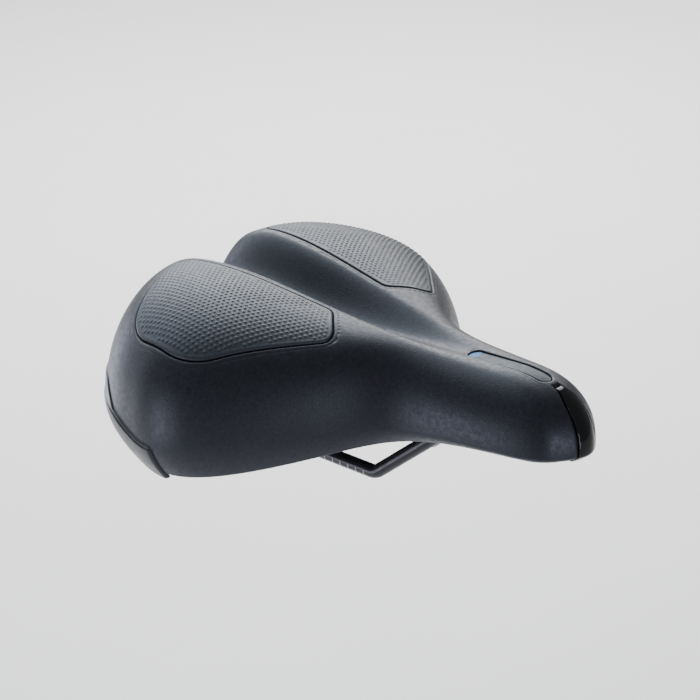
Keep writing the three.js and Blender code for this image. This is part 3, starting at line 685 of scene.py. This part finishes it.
def make_panel(name, side):
    inner_shares = np.linspace(0, PANEL_RIM_SHARE, 100)[1:]
    shares = np.concatenate([inner_shares, np.linspace(PANEL_RIM_SHARE, 1, 9)[1:]])
    offset = PANEL - PANEL_CENTER
    plan = PANEL_CENTER + offset[None] * shares[:, None, None]
    x, y = plan[..., 0], plan[..., 1]
    height = panel_height(x, y)
    points = SKIN.over(x, side * y) + SKIN.normal_over(x, side * y) * height[..., None]
    under = PANEL_CENTER + offset[None] * np.array([1, 0.6, 0.25])[:, None, None]
    lower = SKIN.over(under[..., 0], side * under[..., 1])
    lower += SKIN.normal_over(under[..., 0], side * under[..., 1]) * PANEL_UNDERSIDE
    builder = Builder()
    grid = [points[0], *points, *lower, lower[-1]]
    capped(builder, grid, -side)
    mesh_object(name + "_grip", builder.all_points(), builder.faces, SEAT, PANEL_LOOK,
                [name + "_grip_panel"])


def make_gel(name, side):
    upper = [(0.0, 0), (0.5, 0), (0.93, 0), (0.98, 0.6), (1.0, 2)]
    heights = [(share, GEL_TOP - rounding) for share, rounding in upper]
    heights += [(share, GEL_BOTTOM + rounding) for share, rounding in reversed(upper)]
    rings = []
    for share, height in heights:
        plan = PANEL_CENTER + (GEL - PANEL_CENTER) * max(share, 0.02)
        rings.append(SKIN.over(plan[:, 0], side * plan[:, 1])
                     + SKIN.normal_over(plan[:, 0], side * plan[:, 1]) * height)
    builder = Builder()
    capped(builder, rings, -side)
    gel = mesh_object(name + "_gel", builder.all_points(), builder.faces, SEAT, GEL_LOOK,
                      [name + "_gel_pad"])


INLAY_TOP = -0.55
LET_IN_DEPTH = 1.45
INLAY_END_GAP = 0.15


def make_inlay():
    along = np.linspace(0, np.pi, 90)
    reach = (INLAY_FRONT - INLAY_REAR - 2 * INLAY_END_GAP) / 2
    x = (INLAY_REAR + INLAY_FRONT) / 2 - reach * np.cos(along)
    past_rear = INLAY_REAR + INLAY_HALF_WIDTH - x
    past_front = x - INLAY_FRONT + INLAY_HALF_WIDTH
    beyond = np.maximum(np.maximum(past_rear, past_front), 0)
    half = np.sqrt(INLAY_HALF_WIDTH ** 2 - beyond ** 2)
    across = np.linspace(-1, 1, 21)[:, None]
    y = across * half
    edge = np.minimum(half - np.abs(y), half)
    height = INLAY_TOP - 0.5 * (1 - smoothstep(edge, -0.05, 0.5)) ** 2
    x = np.broadcast_to(x, y.shape)
    normals = SKIN.normal_over(x, y)
    points = SKIN.over(x, y)
    builder = Builder()
    plate(builder, points + normals * height[..., None], points - normals * LET_IN_DEPTH, flip=True)
    mesh_object("nose_strip", builder.all_points(), builder.faces, SEAT, INLAY_LOOK,
                ["nose_inlay"])


def joined_steps(*spans):
    """Even steps over spans of (start, end, count) that follow one another."""
    parts = [np.linspace(*spans[0])]
    for span in spans[1:]:
        parts.append(np.linspace(*span)[1:])
    return np.concatenate(parts)


def make_nose_insert():
    """Glossy plate over the tip, with a thin raised line near its lower edge."""
    rows = joined_steps((0, 0.05, 6), (0.05, 0.94, 56), (0.94, 1, 8))
    columns = np.sin(np.linspace(-np.pi / 2, np.pi / 2, 41))
    level = NOSE_TOP_LEVEL + (NOSE_LOW_LEVEL - NOSE_TOP_LEVEL) * rows[:, None] + 0 * columns
    turn = TURNS - nose_half_width(level) * columns
    side = (1 - np.abs(columns)) * np.ones_like(level)
    height = 0.15 - 0.75 * (1 - smoothstep(side, -0.02, 0.1)) ** 2
    height -= 0.6 * (1 - smoothstep(rows, 0, 0.02))[:, None]
    height += 0.45 * (smoothstep(rows, 0.945, 0.96) * (1 - smoothstep(rows, 0.985, 1.0)))[:, None]
    normals = SKIN.normal(turn, level)
    points = SKIN.point(turn, level)
    builder = Builder()
    plate(builder, points + normals * height[..., None], points - normals * LET_IN_DEPTH, flip=False)
    mesh_object("nose_insert", builder.all_points(), builder.faces, SEAT, GLOSS_LOOK,
                ["nose_bumper"])


REAR_END_TURN = 4.5
GUARD_TOP_LEVEL = 0.9
GUARD_DROP = 0.39
GUARD_DROP_TURNS = (3.05, 4.4)
GUARD_LOW_LEVEL = 2.1
GUARD_LIP = 0.75
GUARD_FACE = 0.65
GUARD_INSIDE = 0.9


def rear_guard_level(turn):
    """Upper edge of the guard, which steps down towards its ends."""
    return GUARD_TOP_LEVEL + GUARD_DROP * smoothstep(np.abs(turn), *GUARD_DROP_TURNS)


def make_rear_guard():
    """Hard guard round the tail: a thin lip along its upper edge, then the main face."""
    rows = joined_steps((0, 0.16, 14), (0.16, 0.95, 26), (0.95, 1, 5))
    even = np.linspace(-1, 1, 241)
    columns = 0.15 * np.sin(even * np.pi / 2) + 0.85 * even
    turn = (REAR_END_TURN + 0.1 * rows[:, None]) * columns
    top = rear_guard_level(turn)
    level = top + (GUARD_LOW_LEVEL - top) * rows[:, None]
    down = rows[:, None] * np.ones_like(turn)
    end = (1 - np.abs(columns)) * np.ones_like(turn)
    height = GUARD_LIP + GUARD_FACE * smoothstep(down, 0.065, 0.085)
    height -= 0.75 * (1 - smoothstep(down, -0.004, 0.012)) ** 2
    height -= 0.8 * (1 - smoothstep(end, -0.001, 0.006)) ** 2
    height -= 0.5 * smoothstep(down, 0.97, 1.0)
    normals = SKIN.normal(turn, level)
    points = SKIN.point(turn, level)
    builder = Builder()
    plate(builder, points + normals * height[..., None], points - normals * GUARD_INSIDE, flip=True)
    for side in (1, -1):
        guard_tab(builder, side)
    mesh_object("rear_guard", builder.all_points(), builder.faces, SEAT, GUARD_LOOK,
                ["rear_bumper"])


TAB_X, TAB_Y = -88, 44
TAB_RADIUS = 6
TAB_REAR = -99.5
TAB_LOW, TAB_TOP = 4.4, 6.6


def guard_tab(builder, side):
    """Screw tab of the guard, a flat tongue with a round end."""
    angle = np.linspace(-np.pi / 2, np.pi / 2, 15)
    ahead = [(TAB_X + TAB_RADIUS * math.cos(a), TAB_Y + TAB_RADIUS * math.sin(a)) for a in angle]
    outline = np.array([(TAB_REAR, TAB_Y - TAB_RADIUS), *ahead, (TAB_REAR, TAB_Y + TAB_RADIUS)])
    rings = [np.column_stack([outline[:, 0], side * outline[:, 1], np.full(len(outline), z)])
             for z in (TAB_LOW, TAB_TOP)]
    loft(builder, np.array(rings), flip=side < 0)


# ---- Padding and base ----

GEL_POCKET = 9.5


def make_foam():
    levels = np.concatenate([np.linspace(0, 1, 70), np.linspace(1, 1.85, 12)[1:]])
    turn, level = np.broadcast_arrays(TURN[None, ::2], levels[:, None])
    points = FOAM_OUT.point(turn, level)
    pocket = 1 - smoothstep(plan_distance(GEL, points), 0.5, 2.0)
    points[..., 2] -= GEL_POCKET * pocket * (level <= 1)
    under = BASE_SPACE.point(*np.broadcast_arrays(TURN[None, ::2], levels[::2, None]))
    builder = Builder()
    shell(builder, points, under)
    foam = mesh_object("foam_padding", builder.all_points(), builder.faces, SEAT, FOAM_LOOK,
                       ["foam_pad"])


BASE_THINNING = 1.9
THINNING_SPAN = (62, 80)


def base_inner(turn, level):
    """Inner face of the base; its wall thins beside the rail's arms."""
    rim_x = rim_point(np.where(turn <= TURNS, turn, 2 * TURNS - turn))[..., 0]
    inset = HEM_WIDTH + GAP + BASE_THICKNESS - BASE_THINNING * smoothstep(rim_x, *THINNING_SPAN)
    return Layer(inset, BASE_THICKNESS, 1).point(turn, level)


def rib(builder, start, end, thickness=2.4, bottom=42.0):
    """Upright rib under the base, from start to end in plan, its top in the shell."""
    start, end = np.array(start, float), np.array(end, float)
    count = max(6, int(np.linalg.norm(end - start) / 4))
    across = unit(np.array([start[1] - end[1], end[0] - start[0]])) * thickness / 2
    rings = []
    for share in np.linspace(0, 1, count):
        spot = start + (end - start) * share
        top = float(BASE_IN.over(np.array(spot[0]), np.array(spot[1]))[2]) + 0.8
        a, b = spot + across, spot - across
        rings.append([(*a, bottom), (*b, bottom), (*b, top), (*a, top)])
    loft(builder, np.array(rings), flip=True)


BLOCK_REAR, BLOCK_FRONT = 105.5, 126.5
BLOCK_HALF_WIDTH = 6.2
BLOCK_BOTTOM = 38.65
ROD_X = 116
SEAT_HALF_WIDTH, SEAT_HEIGHT = 4.1, 4.0


def nose_block(builder):
    """Block that holds the front bend of the rail, with a round seat along its lower face."""
    angle = np.linspace(0, np.pi, 15)
    seat = [(ROD_X - SEAT_HALF_WIDTH * math.cos(a), BLOCK_BOTTOM + SEAT_HEIGHT * math.sin(a))
            for a in angle]
    outline = [(BLOCK_REAR, 60), (BLOCK_REAR, BLOCK_BOTTOM), *seat, (BLOCK_FRONT, BLOCK_BOTTOM),
               (BLOCK_FRONT, 56)]
    extrude_y(builder, outline, -BLOCK_HALF_WIDTH, BLOCK_HALF_WIDTH)


RIB_Y = 34
SPINE_END = 99
ELASTOMER_X, ELASTOMER_Y = -72, 17
BOSS_PROFILE = [(15, 57), (15, 44.6), (14.4, 44), (8.5, 44), (8.2, 44.8), (3.4, 44.8), (3.4, 57)]
POST_PROFILE = [(4, 40), (4, 7.2), (3.7, 6.9), (2.3, 6.9), (2.3, 40)]


def make_base():
    levels = np.concatenate([np.linspace(0, 1, 60), np.linspace(1, 2, 20)[1:]])
    grid = np.broadcast_arrays(TURN[None, ::2], levels[:, None])
    builder = Builder()
    shell(builder, BASE_OUT.point(*grid), base_inner(*grid))
    for y in (RIB_Y, -RIB_Y):
        rib(builder, (-50, y), (34, y))
    for x in (-36, -8, 20):
        rib(builder, (x, -RIB_Y), (x, RIB_Y))
    rib(builder, (-8, 0), (SPINE_END, 0))
    for y in (ELASTOMER_Y, -ELASTOMER_Y):
        turned_body(builder, BOSS_PROFILE, ELASTOMER_X, y)
    for y in (TAB_Y, -TAB_Y):
        turned_body(builder, POST_PROFILE, TAB_X, y, 24)
    nose_block(builder)
    mesh_object("base_pan", builder.all_points(), builder.faces, SEAT, BASE_LOOK,
                ["base_shell"])


# ---- Rail, its marks and the rubber blocks ----

ROD_RADIUS = 3.5
ROD_END_ROUNDING = 0.5
# Corners of the left rail from its rear end to the front bend: (x, y, z, bend radius).
RAIL_CORNERS = [(-80.7, 33, 21.5, 0), (-55, 33, 21.5, 8), (-35, 22, 0, 9), (35, 22, 0, 7), (72, 11, 32, 16),
                (116, 11, 38.5, 6.5)]


def rail_path():
    corners = RAIL_CORNERS + [(x, -y, z, bend) for x, y, z, bend in reversed(RAIL_CORNERS)]
    spots = np.array([c[:3] for c in corners], float)
    points = []
    for k, corner in enumerate(corners):
        bend = corner[3]
        if bend == 0:
            points.append(spots[k])
            continue
        back = unit(spots[k - 1] - spots[k])
        ahead = unit(spots[k + 1] - spots[k])
        half = math.acos(float(np.clip(back @ ahead, -1, 1))) / 2
        center = spots[k] + unit(back + ahead) * bend / math.sin(half)
        first = spots[k] + back * bend / math.tan(half) - center
        last = spots[k] + ahead * bend / math.tan(half) - center
        sweep = math.pi - 2 * half
        for f in np.linspace(0, 1, 13):
            mix = (math.sin((1 - f) * sweep) * first + math.sin(f * sweep) * last) / math.sin(sweep)
            points.append(center + mix)
    return np.array(points)


def rod_rings(path, radius, sides=28):
    """Rings round a path whose section stays upright."""
    ahead = np.gradient(path, axis=0)
    ahead = unit(ahead)
    across = unit(np.cross(ahead, [0, 0, 1]))
    up = np.cross(across, ahead)
    angle = np.linspace(0, 2 * np.pi, sides, endpoint=False)[:, None]
    return [p + radius * (np.cos(angle) * a + np.sin(angle) * u) for p, a, u in zip(path, across, up)]


def make_rail():
    path = rail_path()
    near = unit(path[1] - path[0]) * ROD_END_ROUNDING
    rings = rod_rings(path, ROD_RADIUS)
    rings[0] = rod_rings(path, ROD_RADIUS - ROD_END_ROUNDING)[0]
    rings.insert(1, rod_rings(path + near, ROD_RADIUS)[0])
    rings[-1] = rod_rings(path, ROD_RADIUS - ROD_END_ROUNDING)[-1]
    rings.insert(-1, rod_rings(path + near, ROD_RADIUS)[-1])
    builder = Builder()
    loft(builder, np.array(rings))
    mesh_object("rail", builder.all_points(), builder.faces, RAIL_FRAME, RAIL_LOOK,
                ["saddle_rail"])


RAIL_Y = 22
MARK_STEP = 5
MARK_HALF_WIDTH = 0.4
LONG_MARK, SHORT_MARK = 55, 30
MARK_TOP_ANGLE = 16


def make_rail_marks():
    """Plain pale ticks on the outer side of both rails, along the clamp zone."""
    builder = Builder()
    for side in (1, -1):
        for count, x in enumerate(np.arange(-25, 30.1, MARK_STEP)):
            reach = SHORT_MARK if count % 2 else LONG_MARK
            angle = np.radians(np.linspace(-reach, MARK_TOP_ANGLE, 12))
            grids = []
            for radius in (ROD_RADIUS + 0.06, ROD_RADIUS - GAP):
                y = side * (RAIL_Y + radius * np.cos(angle))
                z = radius * np.sin(angle)
                edges = [np.column_stack([np.full(12, x + dx), y, z])
                         for dx in (-MARK_HALF_WIDTH, MARK_HALF_WIDTH)]
                grids.append(np.array(edges))
            plate(builder, grids[0], grids[1], flip=side < 0)
    mesh_object("rail_marks", builder.all_points(), builder.faces, RAIL_FRAME, MARK_LOOK)


RUBBER_LOW, RUBBER_HIGH = 28.3, 43.7
RUBBER_RADIUS = 13
RUBBER_WAVE = 1.2
RUBBER_EDGE = 12.4
RUBBER_HOLE = 4.6


def make_elastomer(name, side):
    """Rubber block with two soft waists round it and a hole for its bolt."""
    low, high = RUBBER_LOW, RUBBER_HIGH
    share = np.linspace(0.03, 0.97, 29)
    wall = [(RUBBER_RADIUS - RUBBER_WAVE * math.sin(2 * math.pi * s) ** 2, low + (high - low) * s)
            for s in share]
    hole = [(RUBBER_HOLE + 0.4, high), (RUBBER_HOLE, high - 0.4), (RUBBER_HOLE, low + 0.4),
            (RUBBER_HOLE + 0.4, low)]
    profile = [(RUBBER_EDGE, low), *wall, (RUBBER_EDGE, high), *hole]
    builder = Builder()
    turned_body(builder, profile[::-1], ELASTOMER_X, side * ELASTOMER_Y, 56)
    block = mesh_object(name + "_rubber_block", builder.all_points(), builder.faces, RAIL_FRAME,
                        RUBBER_LOOK, [name + "_elastomer"])
    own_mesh(block)


# ---- Everything, the floor, the light and the camera ----

CAD_LOOKS = {"rear_carrier": BASE_LOOK, "nose_clamp_plate": BASE_LOOK}


def dress_frame():
    """Materials for the CAD nodes that stay in view."""
    for name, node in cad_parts.items():
        if node.hide_render:
            continue
        look = CAD_LOOKS.get(name, STEEL_LOOK)
        node.data.materials.clear()
        node.data.materials.append(look)


def add_area(name, place, aim, size, power, colour):
    data = bpy.data.lights.new(name, "AREA")
    data.shape = "RECTANGLE"
    data.size, data.size_y = size
    data.energy = power
    data.color = colour
    light = bpy.data.objects.new(name, data)
    bpy.context.collection.objects.link(light)
    light.location = place
    light.visible_camera = False
    direction = Vector(aim) - Vector(place)
    light.rotation_euler = direction.to_track_quat("-Z", "Y").to_euler()


def add_sun(name, toward, spread, strength):
    data = bpy.data.lights.new(name, "SUN")
    data.energy = strength
    data.angle = math.radians(spread)
    light = bpy.data.objects.new(name, data)
    bpy.context.collection.objects.link(light)
    light.rotation_euler = Vector(toward).to_track_quat("Z", "Y").to_euler()


FLOOR_REACH = 12.0
FLOOR_Z = -1.1
WORLD_STRENGTH = 0.2


def make_stage():
    mesh = bpy.data.meshes.new("floor")
    corners = [(-FLOOR_REACH, -FLOOR_REACH, FLOOR_Z), (FLOOR_REACH, -FLOOR_REACH, FLOOR_Z),
               (FLOOR_REACH, FLOOR_REACH, FLOOR_Z), (-FLOOR_REACH, FLOOR_REACH, FLOOR_Z)]
    mesh.from_pydata(corners, [], [(0, 1, 2, 3)])
    floor = bpy.data.objects.new("floor", mesh)
    bpy.context.collection.objects.link(floor)
    paper = Shader("paper", Roughness=0.9)
    paper.colour(paper.noise(3, 2), (0.86, 0.86, 0.86), (0.9, 0.9, 0.9))
    mesh.materials.append(paper.material)
    world = bpy.data.worlds.new("studio")
    bpy.context.scene.world = world
    world.use_nodes = True
    sky = world.node_tree.nodes["Background"]
    sky.inputs["Color"].default_value = (0.95, 0.97, 1.0, 1)
    sky.inputs["Strength"].default_value = WORLD_STRENGTH


CAMERA_AZIMUTH = math.radians(40.36)
CAMERA_ELEVATION = math.radians(24.54)
CAMERA_DISTANCE = 0.997
CAMERA_TARGET = Vector((0, 0, 0.04))
CAMERA_LENS = 103.07
CAMERA_SHIFT = (-0.0004, 0.0198)


def make_camera():
    data = bpy.data.cameras.new("camera")
    data.lens = CAMERA_LENS
    data.sensor_width = 36
    data.shift_x, data.shift_y = CAMERA_SHIFT
    data.clip_start, data.clip_end = 0.01, 50
    camera = bpy.data.objects.new("camera", data)
    bpy.context.collection.objects.link(camera)
    flat = math.cos(CAMERA_ELEVATION)
    back = Vector((math.sin(CAMERA_AZIMUTH) * flat, -math.cos(CAMERA_AZIMUTH) * flat,
                   math.sin(CAMERA_ELEVATION)))
    camera.location = CAMERA_TARGET + back * CAMERA_DISTANCE
    camera.rotation_euler = (-back).to_track_quat("-Z", "Y").to_euler()
    bpy.context.scene.camera = camera


make_camera()
make_cover()
for side_name, side_sign in (("left", 1), ("right", -1)):
    make_panel(side_name, side_sign)
    make_gel(side_name, side_sign)
    make_elastomer(side_name, side_sign)
make_inlay()
make_nose_insert()
make_rear_guard()
make_foam()
make_base()
make_rail()
make_rail_marks()
dress_frame()
make_stage()
add_sun("sky_light", (-0.4, 0.62, 0.7), 40, 1.3)
add_area("backdrop_light", (-2.4, 2.8, 1.2), (-2.4, 2.801, 0), (3.4, 4.2), 230, (1, 1, 1))
add_area("softbox", (-0.95, 0.2, 1.0), (0, 0, 0.05), (1.6, 1.6), 21, (0.78, 0.88, 1))
add_area("left_strip", (-1.5, -0.05, -0.15), (-0.05, 0, 0.05), (0.5, 0.9), 8, (0.82, 0.84, 1))
add_area("front_fill", (-0.35, -0.85, -0.14), (0.12, -0.03, 0.04), (0.45, 0.45), 3.2, (0.82, 0.84, 1))
add_area("nose_fill", (1.25, -0.45, 0.0), (0.12, 0, 0.04), (0.2, 0.5), 5, (0.82, 0.84, 1))
